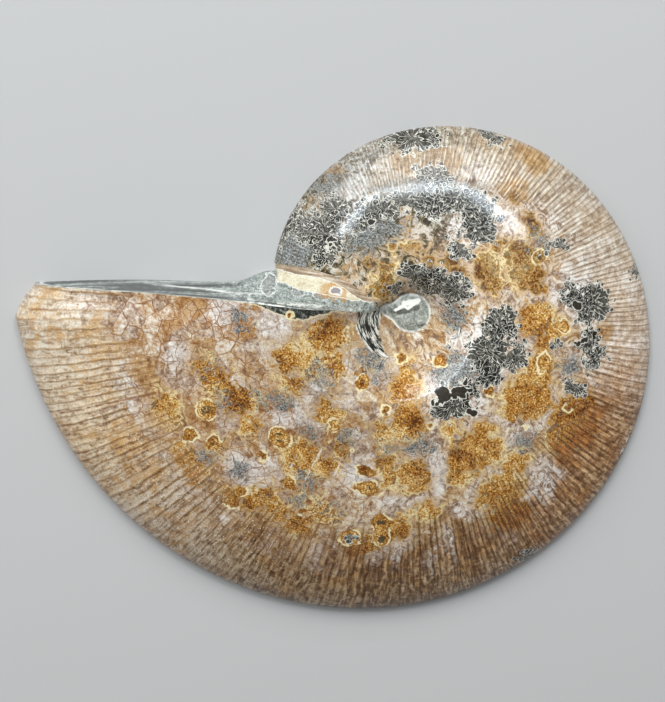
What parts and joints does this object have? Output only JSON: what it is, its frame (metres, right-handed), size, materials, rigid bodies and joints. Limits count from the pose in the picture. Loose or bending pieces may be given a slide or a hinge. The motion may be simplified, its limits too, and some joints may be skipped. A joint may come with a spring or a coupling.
{
  "type": "ammonite fossil half",
  "caption": "Polished half of a tightly coiled ammonite fossil with a sawn flat back, a funnel-shaped umbilicus and a square-cut mouth, for display.",
  "frame": {"origin": "on the flat sawn back, under the middle of the outline's bounding box", "axes": "+Z from the sawn back up to the polished flank; +X away from the mouth; +Y from the belly of the last whorl to the top of the coil"},
  "size_m": [0.1494, 0.1162, 0.029],
  "materials": {
    "agatized_shell": "polished fossil shell and calcite, amber, white and grey, with fine ribs on the outer band"
  },
  "bodies": {
    "root": {"ammonite_half": "agatized_shell"}
  },
  "joints": []
}
